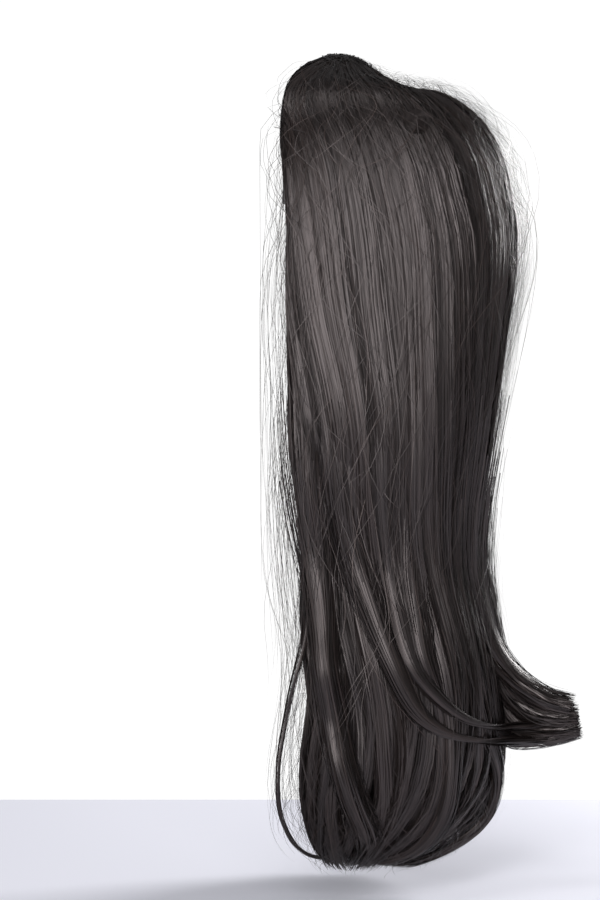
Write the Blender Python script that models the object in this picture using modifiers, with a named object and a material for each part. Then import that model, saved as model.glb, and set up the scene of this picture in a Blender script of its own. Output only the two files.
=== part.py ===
"""Ponytail hairpiece on a claw clip, at rest as worn.

The wearer faces -X and stands along +Z. The origin is the middle of the clip's grip, where the
wearer's own gathered hair goes. A raised crown of hair covers the clip, and five falls hang from
the crown's rim round an open hollow for the head and neck.
"""

import math
from collections import namedtuple

import bmesh
import bpy
from mathutils import Vector

# Hair, in metres
FALL_LENGTH = 0.461
CROWN_HEIGHT = 0.080
CROWN_COVER = 0.042
FRONT_REACH = 0.036
REAR_REACH = 0.125
HALF_WIDTH = 0.090
SIDE_THICK = 0.014
REAR_THICK = 0.030
LOCK_RELIEF = 0.0065
LOCK_SWAY = 0.007
TIP_NOTCH = 0.020
SEAM_GAP = 0.0004

# Claw clip, in metres
CLIP_WIDTH = 0.104
JAW_REACH = 0.0355
JAW_RISE = 0.026
JAW_DROP = 0.016
JAW_WALL = 0.0030
TOOTH_WIDTH = 0.0058
TOOTH_COUNT = 7
HINGE_RADIUS = 0.0042
TAB_HEIGHT = 0.015
TAB_WIDTH = 0.046
TAB_SPREAD = 0.011
SEAT_CLEARANCE = 0.0004

# Wearer's head, as the room that the hair leaves for it
HEAD_HALF_LENGTH = 0.099
HEAD_HALF_WIDTH = 0.078
HEAD_HALF_HEIGHT = 0.097
HEAD_AHEAD = 0.081
HEAD_BELOW = 0.057

# Free locks, in metres
FLIP_STAND = 0.050
FLIP_WIDTH = 0.036
CURL_STAND = 0.010
CURL_WIDTH = 0.022
LOOP_STAND = 0.015
LOOP_WIDTH = 0.0048
REAR_LOOP_STAND = 0.009

# The crown's top lies this far above the origin: over the clip's tabs, with hair to cover them.
CROWN_TOP = JAW_RISE + TAB_HEIGHT + CROWN_COVER

LOCKS_ROUND = 24
WAVES_DOWN = 1.2
WAVE_LEAN = 9.0
TIP_UNEVEN = 23.0
OPEN_FROM = 0.70

# A lock's columns: how far across it each lies, and how far down its side, from crest to valley.
Column = namedtuple("Column", "across sunk")
LOCK_COLUMNS = (Column(0.0, 1.0), Column(0.22, 0.28), Column(0.50, 0.0), Column(0.80, 0.32))

# One row for each level from the crown's top to the tips. The drops at the front and rear edge
# run from 0 to 1 down CROWN_HEIGHT, then from 1 to 2 down FALL_LENGTH. Front and rear are shares
# of FRONT_REACH and REAR_REACH, width and wall are shares of HALF_WIDTH and of the fall's
# thickness, square is the exponent of the outline's corners, and relief is a share of
# LOCK_RELIEF.
Level = namedtuple("Level", "front_drop rear_drop front rear width square wall relief")
LEVELS = (
    Level(0.000, 0.014, -0.08, 0.080, 0.06, 2.0, 1.00, 0.05),
    Level(0.041, 0.101, 0.32, 0.200, 0.26, 2.0, 1.00, 0.20),
    Level(0.128, 0.271, 0.66, 0.385, 0.45, 2.1, 1.00, 0.35),
    Level(0.264, 0.298, 0.88, 0.570, 0.61, 2.3, 1.00, 0.50),
    Level(0.446, 0.473, 0.97, 0.757, 0.73, 2.5, 1.00, 0.65),
    Level(0.683, 0.717, 1.00, 0.876, 0.82, 2.7, 1.00, 0.80),
    Level(0.974, 1.000, 0.96, 0.941, 0.88, 2.9, 1.00, 0.90),
    Level(1.058, 1.068, 0.92, 0.984, 0.92, 3.0, 1.00, 1.00),
    Level(1.127, 1.139, 0.95, 0.984, 0.94, 3.0, 1.00, 1.00),
    Level(1.211, 1.220, 0.94, 0.935, 0.95, 3.0, 1.00, 1.00),
    Level(1.299, 1.308, 0.85, 0.881, 0.95, 2.9, 1.00, 1.00),
    Level(1.387, 1.394, 0.83, 0.833, 0.94, 2.8, 1.00, 1.00),
    Level(1.475, 1.482, 0.84, 0.805, 0.93, 2.7, 1.00, 1.00),
    Level(1.563, 1.570, 0.77, 0.808, 0.93, 2.6, 1.00, 1.05),
    Level(1.644, 1.644, 0.67, 0.838, 0.95, 2.6, 1.05, 1.10),
    Level(1.710, 1.703, 0.62, 0.860, 0.98, 2.5, 1.10, 1.20),
    Level(1.776, 1.769, 0.66, 0.890, 1.00, 2.5, 1.20, 1.30),
    Level(1.842, 1.835, 0.71, 0.892, 1.00, 2.4, 1.30, 1.35),
    Level(1.900, 1.893, 0.70, 0.860, 0.96, 2.4, 1.30, 1.35),
    Level(1.945, 1.935, 0.58, 0.790, 0.88, 2.3, 1.05, 1.20),
    Level(1.979, 1.967, 0.36, 0.650, 0.75, 2.2, 0.65, 0.85),
    Level(2.000, 1.993, 0.10, 0.480, 0.58, 2.1, 0.16, 0.25),
)
CROWN_LEVELS = 6
TIP_LEVELS = 5

# Each fall's stretch of the way round: 0 is the rear, -1 the front on the wearer's left.
FALLS = (
    ("left_front_fall", -OPEN_FROM, -0.49),
    ("left_fall", -0.49, -0.24),
    ("rear_fall", -0.24, 0.24),
    ("right_fall", 0.24, 0.49),
    ("right_front_fall", 0.49, OPEN_FROM),
)

HAIR_COLOUR = (0.018, 0.014, 0.013)
CLIP_COLOUR = (0.012, 0.010, 0.010)


def level_at(level):
    """The table's row at a level that may lie between two rows."""
    low = max(0, min(int(level), len(LEVELS) - 2))
    share = level - low
    return Level(*(a + (b - a) * share for a, b in zip(LEVELS[low], LEVELS[low + 1])))


def corner_power(value, power):
    return math.copysign(abs(value) ** power, value)


def with_height(level, x, y):
    """The point at x and y of a level, which is one tilted plane."""
    row = level_at(level)
    front = -row.front * FRONT_REACH
    rear = row.rear * REAR_REACH
    along = (x - front) / (rear - front)
    drop = row.front_drop + (row.rear_drop - row.front_drop) * along
    fallen = min(drop, 1.0) * CROWN_HEIGHT + max(drop - 1.0, 0.0) * FALL_LENGTH
    return Vector((x, y, CROWN_TOP - fallen))


def outline(level, turn):
    """A point of the hair's outer outline, with no locks: turn 0 is the rear, +-1 the front.

    Past the falls' front edges the crown is closed by a flat front.
    """
    row = level_at(level)
    front = -row.front * FRONT_REACH
    rear = row.rear * REAR_REACH
    power = 2.0 / row.square
    flattened = min(1.0, level / (CROWN_LEVELS - 2.0))
    ahead = 1.0 + (abs(math.cos(math.pi * OPEN_FROM)) ** power - 1.0) * flattened
    half_depth = (rear - front) / (1.0 + ahead)
    angle = math.pi * turn
    x = rear - half_depth + half_depth * corner_power(math.cos(angle), power)
    y = row.width * HALF_WIDTH * corner_power(math.sin(angle), power)
    return with_height(level, max(x, front), y)


def tangent(level, turn):
    step = 0.004
    across = outline(level, turn + step) - outline(level, turn - step)
    return Vector((across.x, across.y, 0.0)).normalized()


def swayed(level, turn):
    """The locks wander sideways in a long wave and a short one, least at the crown."""
    fall = max(0.0, level - 2.0) / (len(LEVELS) - 3.0)
    long_wave = math.sin(math.tau * WAVES_DOWN * fall + WAVE_LEAN * turn)
    short_wave = math.sin(2.0 * math.tau * WAVES_DOWN * fall - WAVE_LEAN * turn / 2.0)
    edge = 1.0 - min(1.0, abs(turn) / OPEN_FROM) ** 6
    sway = (long_wave + short_wave / 2.0) * fall * edge * LOCK_SWAY
    return turn + sway / (2.0 * HALF_WIDTH)


def hair_point(level, turn, sunk, depth=0.0):
    """A point of the hair: sunk is 1 in the valley between two locks, and depth goes inwards."""
    row = level_at(level)
    moved = swayed(level, turn)
    flow = tangent(level, moved)
    inwards = Vector((-flow.y, flow.x, 0.0))
    point = outline(level, moved) + inwards * (sunk * row.relief * LOCK_RELIEF + depth)
    point = with_height(level, point.x, point.y)
    to_tips = level - (len(LEVELS) - 1 - TIP_LEVELS)
    if to_tips > 0.0:
        uneven = 0.5 + 0.5 * math.sin(TIP_UNEVEN * turn)
        point.z += TIP_NOTCH * (0.6 * uneven + sunk) * (to_tips / TIP_LEVELS) ** 2
    return point


def wall_depth(level, turn):
    """From the valleys between the locks to the fall's inner face, least at the front edge."""
    row = level_at(level)
    rearward = 0.5 + 0.5 * math.cos(math.pi * min(1.0, abs(turn) / OPEN_FROM))
    thick = SIDE_THICK + (REAR_THICK - SIDE_THICK) * rearward
    return (thick - LOCK_RELIEF) * row.wall


def mesh_object(name, points, faces, colour, roughness):
    mesh = bpy.data.meshes.new(name)
    mesh.from_pydata([tuple(point) for point in points], [], faces)
    mesh.update()
    made = bpy.data.objects.new(name, mesh)
    solids.objects.link(made)
    material = bpy.data.materials.new(name)
    material.use_nodes = True
    shader = material.node_tree.nodes["Principled BSDF"]
    shader.inputs["Base Color"].default_value = (*colour, 1.0)
    shader.inputs["Roughness"].default_value = roughness
    shader.inputs["Metallic"].default_value = 0.0
    mesh.materials.append(material)
    return made


def face_outwards(thing):
    shape = bmesh.new()
    shape.from_mesh(thing.data)
    bmesh.ops.recalc_face_normals(shape, faces=shape.faces)
    if shape.calc_volume(signed=True) < 0.0:
        bmesh.ops.reverse_faces(shape, faces=shape.faces)
    shape.to_mesh(thing.data)
    shape.free()


def lofted(rings):
    """Points and faces of closed rings joined in turn, with a cap at each end."""
    count = len(rings[0])
    points = [point for ring in rings for point in ring]
    faces = [tuple(range(count))]
    for ring in range(len(rings) - 1):
        low = ring * count
        high = low + count
        for index in range(count - 1):
            after = index + 1
            faces.append((low + index, high + index, high + after))
            faces.append((low + index, high + after, low + after))
        # The closing strip has its diagonal the other way, so that two falls' side walls match.
        faces.append((high - 1, high + count - 1, low))
        faces.append((high + count - 1, high, low))
    last = (len(rings) - 1) * count
    faces.append(tuple(reversed(range(last, last + count))))
    return points, faces


def columns_between(start, stop):
    """Where each column of the locks between two turns lies, and how far it is sunk."""
    count = max(1, round((stop - start) * LOCKS_ROUND / 2.0))
    ends = []
    for lock in range(count + 1):
        uneven = 0.24 * math.sin(5.1 * lock + 9.0 * start) if 0 < lock < count else 0.0
        ends.append(start + (stop - start) * (lock + uneven) / count)
    columns = []
    for lock in range(count):
        width = ends[lock + 1] - ends[lock]
        columns += [(ends[lock] + width * column.across, column.sunk) for column in LOCK_COLUMNS]
    return columns + [(stop, 1.0)]


def fall_ring(level, start, stop):
    """One closed section of a fall: its outer face with locks, then its inner face back."""
    columns = columns_between(start, stop)
    outer = [hair_point(level, turn, sunk) for turn, sunk in columns]
    inner = []
    for turn, _ in reversed(columns[::len(LOCK_COLUMNS)]):
        inner.append(hair_point(level, turn, 1.0, wall_depth(level, turn)))
    for first, last, turn, way in ((0, -1, start, 1.0), (-1, 0, stop, -1.0)):
        shift = tangent(level, swayed(level, turn)) * (way * SEAM_GAP / 2.0)
        outer[first] = outer[first] + shift
        inner[last] = inner[last] + shift
    return outer + inner


def make_fall(name, start, stop):
    rings = [fall_ring(float(n), start, stop) for n in range(CROWN_LEVELS, len(LEVELS))]
    rings[0] = [point - Vector((0.0, 0.0, SEAM_GAP)) for point in rings[0]]
    fall = mesh_object(name, *lofted(rings), HAIR_COLOUR, 0.38)
    face_outwards(fall)
    return fall


def make_crown():
    """The puff is full of hair, down to the falls' tops, with room cut for the clip and head."""
    columns = []
    for _, start, stop in FALLS:
        columns += columns_between(start, stop)[:-1]
    columns += columns_between(OPEN_FROM, 2.0 - OPEN_FROM)[:-1]
    rings = []
    for level in range(CROWN_LEVELS + 1):
        rings.append([hair_point(float(level), turn, sunk) for turn, sunk in columns])
    crown = mesh_object("crown_puff", *lofted(rings), HAIR_COLOUR, 0.38)
    face_outwards(crown)
    return crown


def clip_outline():
    """The clip's outer face in the XZ plane, from the front jaw's tips over the hinge."""
    shares = (
        (1.00, -1.00),
        (0.985, -0.55),
        (0.970, -0.10),
        (0.955, 0.20),
        (0.900, 0.50),
        (0.760, 0.76),
        (0.520, 0.92),
        (0.260, 0.99),
    )
    half = []
    for out, up in shares:
        height = up * JAW_RISE if up > 0.0 else up * JAW_DROP
        half.append((-out * JAW_REACH, height))
    return half + [(0.0, JAW_RISE)] + [(-x, z) for x, z in reversed(half)]


def boolean(target, other, operation):
    modifier = target.modifiers.new(operation.lower(), "BOOLEAN")
    modifier.operation = operation
    modifier.solver = "EXACT"
    modifier.object = other
    other.hide_render = True
    other.display_type = "WIRE"
    for group in list(other.users_collection):
        group.objects.unlink(other)
    helpers.objects.link(other)


def prism(name, outline_xz, half_width):
    """A closed XZ outline drawn out along Y to both sides."""
    rings = []
    for y in (-half_width, half_width):
        rings.append([Vector((x, y, z)) for x, z in outline_xz])
    made = mesh_object(name, *lofted(rings), CLIP_COLOUR, 0.3)
    face_outwards(made)
    return made


def tab_outline():
    """The two finger tabs, as one V that stands on the hinge."""
    foot = JAW_RISE - JAW_WALL / 2.0
    top = JAW_RISE + TAB_HEIGHT
    outer = TAB_SPREAD + JAW_WALL / 2.0
    inner = TAB_SPREAD - JAW_WALL / 2.0
    return [
        (-HINGE_RADIUS, foot),
        (-outer, top),
        (-inner, top),
        (0.0, JAW_RISE + TAB_HEIGHT * 0.25),
        (inner, top),
        (outer, top),
        (HINGE_RADIUS, foot),
    ]


def tab_room_outline():
    """Room for both tabs, filled in between them."""
    foot = JAW_RISE - JAW_WALL / 2.0
    top = JAW_RISE + TAB_HEIGHT + SEAT_CLEARANCE
    outer = TAB_SPREAD + JAW_WALL / 2.0 + SEAT_CLEARANCE * 2.0
    root = HINGE_RADIUS + SEAT_CLEARANCE * 2.0
    return [(-root, foot), (-outer, top), (outer, top), (root, foot)]


def make_clip():
    """Both jaws as one toothed sheet, thickened inwards, with the hinge barrel and tabs."""
    path = clip_outline()
    half = CLIP_WIDTH / 2.0
    pitch = (CLIP_WIDTH - TOOTH_WIDTH) / (TOOTH_COUNT - 1)
    edges = []
    for tooth in range(TOOTH_COUNT):
        left = -half + tooth * pitch
        edges += [left, left + TOOTH_WIDTH]
    roots = 3
    shape = bmesh.new()
    grid = []
    for index, (x, z) in enumerate(path):
        from_tip = min(index, len(path) - 1 - index)
        taper = (0.45, 0.80, 0.95, 1.0)[min(from_tip, 3)]
        line = []
        for number, y in enumerate(edges):
            middle = edges[number - number % 2] + TOOTH_WIDTH / 2.0
            line.append(shape.verts.new((x, middle + (y - middle) * taper, z)))
        grid.append(line)
    for index in range(len(path) - 1):
        from_tip = min(index, len(path) - 2 - index)
        for number in range(len(edges) - 1):
            if from_tip >= roots or number % 2 == 0:
                row, after = grid[index], grid[index + 1]
                shape.faces.new((row[number], after[number], after[number + 1], row[number + 1]))
    bmesh.ops.recalc_face_normals(shape, faces=shape.faces)
    clip = mesh_object("claw_clip", [], [], CLIP_COLOUR, 0.30)
    shape.to_mesh(clip.data)
    shape.free()
    top = max(clip.data.polygons, key=lambda face: face.center.z)
    if top.normal.z < 0.0:
        clip.data.flip_normals()
    wall = clip.modifiers.new("jaw wall", "SOLIDIFY")
    wall.thickness = JAW_WALL
    wall.offset = -1.0
    bpy.ops.mesh.primitive_cylinder_add(
        vertices=14, radius=HINGE_RADIUS, depth=CLIP_WIDTH * 0.72,
        location=(0.0, 0.0, JAW_RISE - HINGE_RADIUS), rotation=(math.pi / 2.0, 0.0, 0.0))
    boolean(clip, bpy.context.object, "UNION")
    boolean(clip, prism("finger tabs", tab_outline(), TAB_WIDTH / 2.0), "UNION")
    return clip


def cut_seat(crown):
    """Room in the crown for the clip, which the hair's roots hold all round, and for the head."""
    outer = clip_outline()
    grown = []
    for index, (x, z) in enumerate(outer):
        before = outer[max(0, index - 1)]
        after = outer[min(len(outer) - 1, index + 1)]
        along = Vector((after[0] - before[0], after[1] - before[1])).normalized()
        grown.append((x - along.y * SEAT_CLEARANCE, z + along.x * SEAT_CLEARANCE))
    below = CROWN_TOP - 2.0 * CROWN_HEIGHT
    grown = [(grown[0][0], below)] + grown + [(grown[-1][0], below)]
    boolean(crown, prism("clip room", grown, CLIP_WIDTH / 2.0 + SEAT_CLEARANCE), "DIFFERENCE")
    tabs = prism("tab room", tab_room_outline(), TAB_WIDTH / 2.0 + SEAT_CLEARANCE)
    boolean(crown, tabs, "DIFFERENCE")
    bpy.ops.mesh.primitive_uv_sphere_add(
        segments=28, ring_count=16, radius=1.0, location=(-HEAD_AHEAD, 0.0, -HEAD_BELOW))
    head = bpy.context.object
    head.name = "head room"
    head.scale = (HEAD_HALF_LENGTH, HEAD_HALF_WIDTH, HEAD_HALF_HEIGHT)
    boolean(crown, head, "DIFFERENCE")


# A free lock's stop: where it is on the hair (turn and level), how far it stands out of it and
# ahead of it, as shares of the lock's reach, and its width and thickness as shares of its width.
Stop = namedtuple("Stop", "turn level stand ahead width thick")

# The lock behind the ends that flips outwards, and the shorter one under it
FLIP_STOPS = (
    Stop(-0.14, 12.4, -0.16, 0.0, 0.30, 0.20),
    Stop(-0.14, 13.6, -0.05, 0.0, 0.64, 0.34),
    Stop(-0.13, 14.8, 0.08, 0.0, 0.90, 0.44),
    Stop(-0.12, 15.7, 0.32, 0.0, 1.00, 0.46),
    Stop(-0.11, 16.1, 0.64, 0.0, 1.00, 0.42),
    Stop(-0.10, 16.25, 0.92, 0.0, 0.92, 0.34),
    Stop(-0.10, 16.15, 1.08, 0.0, 0.62, 0.20),
)
UNDER_FLIP_STOPS = (
    Stop(-0.03, 13.4, -0.16, 0.0, 0.30, 0.20),
    Stop(-0.03, 14.6, -0.05, 0.0, 0.60, 0.34),
    Stop(-0.04, 15.8, 0.05, 0.0, 0.85, 0.42),
    Stop(-0.05, 16.5, 0.26, 0.0, 0.90, 0.42),
    Stop(-0.06, 16.9, 0.55, 0.0, 0.85, 0.36),
    Stop(-0.06, 17.0, 0.84, 0.0, 0.66, 0.24),
)
# The lock that curls under at the lower rear corner
CURL_STOPS = (
    Stop(0.34, 14.4, -0.60, 0.0, 0.50, 0.50),
    Stop(0.35, 16.0, 0.05, 0.0, 0.90, 0.80),
    Stop(0.36, 17.6, 0.60, 0.0, 1.00, 0.90),
    Stop(0.37, 19.0, 0.95, 0.0, 0.95, 0.85),
    Stop(0.38, 20.0, 0.80, 0.0, 0.80, 0.70),
    Stop(0.39, 20.7, 0.10, 0.0, 0.50, 0.50),
)
# The thin lock that loops forwards of the front edge and back under the ends
LOOP_STOPS = (
    Stop(0.655, 13.6, -0.30, 0.00, 1.0, 1.0),
    Stop(0.665, 14.8, -0.10, 0.45, 1.0, 1.0),
    Stop(0.665, 16.0, 0.00, 1.00, 1.0, 1.0),
    Stop(0.665, 17.3, 0.00, 1.10, 1.0, 1.0),
    Stop(0.665, 18.6, 0.00, 1.05, 1.0, 1.0),
    Stop(0.66, 19.7, 0.00, 0.95, 1.0, 1.0),
    Stop(0.65, 20.5, -0.10, 0.40, 1.0, 1.0),
    Stop(0.62, 20.5, -0.50, -0.60, 1.0, 1.0),
)
# The small loop that stands off the rear edge
REAR_LOOP_STOPS = (
    Stop(0.10, 12.2, -0.60, 0.0, 1.0, 1.0),
    Stop(0.10, 12.8, 0.25, 0.0, 1.0, 1.0),
    Stop(0.10, 13.5, 0.80, 0.0, 1.0, 1.0),
    Stop(0.10, 14.0, 0.60, 0.0, 1.0, 1.0),
    Stop(0.10, 14.6, -0.60, 0.0, 1.0, 1.0),
)


def add_lock(fall, name, stops, side, reach, width, sides):
    """A lock along its stops, fused to the fall that it grows from. Side -1 is the left."""
    centres = []
    outs = []
    for stop in stops:
        flow = tangent(stop.level, stop.turn * side)
        out = Vector((flow.y, -flow.x, 0.0))
        centre = outline(stop.level, stop.turn * side) + out * (stop.stand * reach)
        centres.append(centre - Vector((stop.ahead * reach, 0.0, 0.0)))
        outs.append(out)
    rings = []
    for index, stop in enumerate(stops):
        before = centres[max(0, index - 1)]
        after = centres[min(len(centres) - 1, index + 1)]
        along = (after - before).normalized()
        across = along.cross(outs[index]).normalized()
        out = across.cross(along)
        ring = []
        for number in range(sides):
            angle = 2.0 * math.pi * number / sides
            wide = across * (math.cos(angle) * stop.width * width / 2.0)
            ring.append(centres[index] + wide + out * (math.sin(angle) * stop.thick * width / 2.0))
        rings.append(ring)
    lock = mesh_object(name, *lofted(rings), HAIR_COLOUR, 0.38)
    face_outwards(lock)
    boolean(fall, lock, "UNION")


def clear_scene():
    for thing in list(bpy.data.objects):
        bpy.data.objects.remove(thing, do_unlink=True)


clear_scene()
solids = bpy.data.collections.new("ponytail hairpiece")
helpers = bpy.data.collections.new("cutters and locks")
bpy.context.scene.collection.children.link(solids)
bpy.context.scene.collection.children.link(helpers)
helpers.hide_render = True

falls = {name: make_fall(name, start, stop) for name, start, stop in FALLS}
add_lock(falls["rear_fall"], "flip lock", FLIP_STOPS, 1, FLIP_STAND, FLIP_WIDTH, 12)
add_lock(falls["rear_fall"], "under flip", UNDER_FLIP_STOPS, 1, FLIP_STAND, FLIP_WIDTH, 12)
add_lock(falls["rear_fall"], "rear loop", REAR_LOOP_STOPS, -1, REAR_LOOP_STAND, LOOP_WIDTH, 6)
add_lock(falls["left_fall"], "left curl", CURL_STOPS, -1, CURL_STAND, CURL_WIDTH, 10)
add_lock(falls["right_fall"], "right curl", CURL_STOPS, 1, CURL_STAND, CURL_WIDTH, 10)
add_lock(falls["left_front_fall"], "front loop", LOOP_STOPS, -1, LOOP_STAND, LOOP_WIDTH, 6)
cut_seat(make_crown())
make_clip()
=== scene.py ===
"""Looks of the claw-clip ponytail hairpiece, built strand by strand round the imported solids."""

import math
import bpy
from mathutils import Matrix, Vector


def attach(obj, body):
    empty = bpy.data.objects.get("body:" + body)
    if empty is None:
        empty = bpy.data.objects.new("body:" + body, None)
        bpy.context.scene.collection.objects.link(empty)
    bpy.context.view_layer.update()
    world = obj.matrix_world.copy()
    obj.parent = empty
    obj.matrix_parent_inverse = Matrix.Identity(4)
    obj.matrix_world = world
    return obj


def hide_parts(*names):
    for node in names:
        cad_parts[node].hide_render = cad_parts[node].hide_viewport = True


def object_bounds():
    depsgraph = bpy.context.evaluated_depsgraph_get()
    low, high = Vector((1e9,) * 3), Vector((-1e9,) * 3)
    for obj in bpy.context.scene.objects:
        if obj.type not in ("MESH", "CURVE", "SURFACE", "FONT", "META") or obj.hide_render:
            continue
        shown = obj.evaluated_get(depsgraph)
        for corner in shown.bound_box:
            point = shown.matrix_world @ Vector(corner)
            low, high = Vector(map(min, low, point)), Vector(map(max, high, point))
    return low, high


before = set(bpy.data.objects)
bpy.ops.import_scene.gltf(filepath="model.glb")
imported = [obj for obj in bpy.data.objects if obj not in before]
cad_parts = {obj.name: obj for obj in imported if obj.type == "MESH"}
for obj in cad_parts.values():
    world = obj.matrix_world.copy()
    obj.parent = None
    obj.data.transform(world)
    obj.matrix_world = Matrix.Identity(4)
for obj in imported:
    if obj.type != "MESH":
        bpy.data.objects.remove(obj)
cad_box = [list(corner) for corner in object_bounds()]

import bpy
import numpy as np

# Table, light and camera
# A pale laminate table under the hanging hair and a bright white room behind it. The hair hangs
# free, held at the clip, and clears the table by a finger's width.
TABLE_GAP = 0.020
TABLE_BACK = 0.40
TABLE_SIZE = (4.0, 2.0)
PHOTO_SIZE = (600, 900)
PIXELS_PER_METRE = 1480.0
SEAT_PIXEL = (335.0, 180.0)
CAMERA_DISTANCE = 2.6
CAMERA_ELEVATION = 3.0
SENSOR = 0.036


def srgb(code):
    """A linear colour from an sRGB hex code."""
    values = [int(code[i:i + 2], 16) / 255.0 for i in (0, 2, 4)]
    linear = [v / 12.92 if v <= 0.04045 else ((v + 0.055) / 1.055) ** 2.4 for v in values]
    return (*linear, 1.0)


def add_node(material, kind, links=(), **settings):
    """Adds a node, sets its inputs and properties by name, and links its inputs."""
    node = material.node_tree.nodes.new(kind)
    for name, value in settings.items():
        if name in node.inputs.keys():
            node.inputs[name].default_value = value
        else:
            setattr(node, name, value)
    for name, source in links:
        material.node_tree.links.new(source, node.inputs[name])
    return node


def new_material(name):
    """An empty material that uses nodes."""
    material = bpy.data.materials.new(name)
    material.use_nodes = True
    material.node_tree.nodes.clear()
    return material


def surface(material, shader):
    """Makes the shader the material's surface."""
    output = material.node_tree.nodes.new("ShaderNodeOutputMaterial")
    material.node_tree.links.new(shader.outputs["BSDF"], output.inputs["Surface"])


view_middle = (
    (PHOTO_SIZE[0] / 2.0 - SEAT_PIXEL[0]) / PIXELS_PER_METRE,
    (SEAT_PIXEL[1] - PHOTO_SIZE[1] / 2.0) / PIXELS_PER_METRE,
)
camera_tilt = math.radians(CAMERA_ELEVATION)
camera_data = bpy.data.cameras.new("camera")
camera_data.sensor_width = SENSOR * 1000.0
camera_data.lens = SENSOR * 1000.0 * CAMERA_DISTANCE * PIXELS_PER_METRE / PHOTO_SIZE[1]
camera = bpy.data.objects.new("camera", camera_data)
camera.location = (
    view_middle[0],
    -CAMERA_DISTANCE * math.cos(camera_tilt),
    view_middle[1] + CAMERA_DISTANCE * math.sin(camera_tilt),
)
camera.rotation_euler = (math.pi / 2.0 - camera_tilt, 0.0, 0.0)
bpy.context.scene.collection.objects.link(camera)
bpy.context.scene.camera = camera
bpy.context.scene.view_settings.view_transform = "Standard"

bpy.ops.object.select_all(action="DESELECT")
table_height = cad_box[0][2] - TABLE_GAP
table_middle = (0.0, TABLE_BACK - TABLE_SIZE[1] / 2.0, table_height)
bpy.ops.mesh.primitive_plane_add(size=1.0, location=table_middle)
floor = bpy.context.object
floor.name = "floor"
floor.scale = (*TABLE_SIZE, 1.0)
# Laminate is pressed against a matt plate, so it looks dull and takes soft shadows.
laminate = new_material("pale laminate")
surface(laminate, add_node(
    laminate, "ShaderNodeBsdfPrincipled", **{"Base Color": srgb("ececf6"), "Roughness": 0.9}))
floor.data.materials.append(laminate)

# The room is white to the camera but lights the hair only faintly, so the softboxes shape it.
ROOM_BRIGHTNESS = 1.05
ROOM_GLOW = 0.22
world = bpy.data.worlds.new("white room")
bpy.context.scene.world = world
world.use_nodes = True
world.node_tree.nodes.clear()
seen = add_node(world, "ShaderNodeBackground", Color=(1.0, 1.0, 1.0, 1.0), Strength=ROOM_BRIGHTNESS)
glow = add_node(world, "ShaderNodeBackground", Color=(0.95, 0.97, 1.0, 1.0), Strength=ROOM_GLOW)
rays = add_node(world, "ShaderNodeLightPath")
blend = add_node(world, "ShaderNodeMixShader", links=(
    ("Fac", rays.outputs["Is Camera Ray"]),))
world.node_tree.links.new(glow.outputs[0], blend.inputs[1])
world.node_tree.links.new(seen.outputs[0], blend.inputs[2])
world_output = add_node(world, "ShaderNodeOutputWorld")
world.node_tree.links.new(blend.outputs[0], world_output.inputs["Surface"])

LIGHT_AIM = (0.03, 0.0, -0.15)
LIGHTS = (
    # name, place, width, height, power in watts
    ("key softbox", (-0.38, -2.2, 0.18), 0.5, 1.1, 32.0),
    ("high softbox", (0.15, -1.8, 1.1), 0.6, 0.8, 8.0),
    ("rear softbox", (1.3, 1.2, 0.3), 0.8, 0.8, 42.0),
    ("top softbox", (-0.3, -0.6, 1.8), 0.8, 0.8, 7.0),
)
for name, place, wide, tall, power in LIGHTS:
    light_data = bpy.data.lights.new(name, "AREA")
    light_data.shape = "RECTANGLE"
    light_data.size = wide
    light_data.size_y = tall
    light_data.energy = power
    light = bpy.data.objects.new(name, light_data)
    light.location = place
    aim = [target - start for target, start in zip(LIGHT_AIM, place)]
    flat = math.hypot(aim[0], aim[1])
    light.rotation_euler = (math.atan2(flat, -aim[2]), 0.0, math.atan2(aim[1], aim[0]) - math.pi / 2)
    bpy.context.scene.collection.objects.link(light)

# Claw clip
# One moulded plastic claw: two toothed jaws on a sprung hinge, in dark brown-black polystyrene.
# It keeps its solid's shape and gets the soft gloss of moulding.
# A mould's real grain is too fine to show, so it is drawn coarser, about a millimetre wide.
MOULD_GRAIN = 0.0011
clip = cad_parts["claw_clip"]
# Polystyrene comes from a polished mould, so it shines softly, with a faint mottle and grain.
clip_plastic = new_material("moulded polystyrene")
clip_place = add_node(clip_plastic, "ShaderNodeTexCoord")
mottle = add_node(clip_plastic, "ShaderNodeTexNoise", links=(
    ("Vector", clip_place.outputs["Object"]),), Scale=1.0 / MOULD_GRAIN, Detail=3.0)
clip_colour = add_node(clip_plastic, "ShaderNodeMixRGB", links=(
    ("Fac", mottle.outputs["Fac"]),), Color1=srgb("0e0b0a"), Color2=srgb("171211"))
grain = add_node(clip_plastic, "ShaderNodeBump", links=(
    ("Height", mottle.outputs["Fac"]),), Strength=0.05, Distance=0.0004)
surface(clip_plastic, add_node(clip_plastic, "ShaderNodeBsdfPrincipled", links=(
    ("Base Color", clip_colour.outputs["Color"]), ("Normal", grain.outputs["Normal"])),
    Roughness=0.36, IOR=1.59))
clip.data.materials.clear()
clip.data.materials.append(clip_plastic)

# Hair, the form that all its locks follow
# Synthetic fibre, sewn in rows to the clip's jaws and combed up, over and down round a hollow.
# The lengths are the solids' own, in metres.
FRONT_REACH = 0.036
REAR_REACH = 0.125
HALF_WIDTH = 0.090
SIDE_THICK = 0.014
REAR_THICK = 0.030
CROWN_HEIGHT = 0.080
FALL_LENGTH = 0.461
CROWN_TOP = 0.083
CROWN_LEVELS = 6
OPEN_FROM = 0.70
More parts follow.
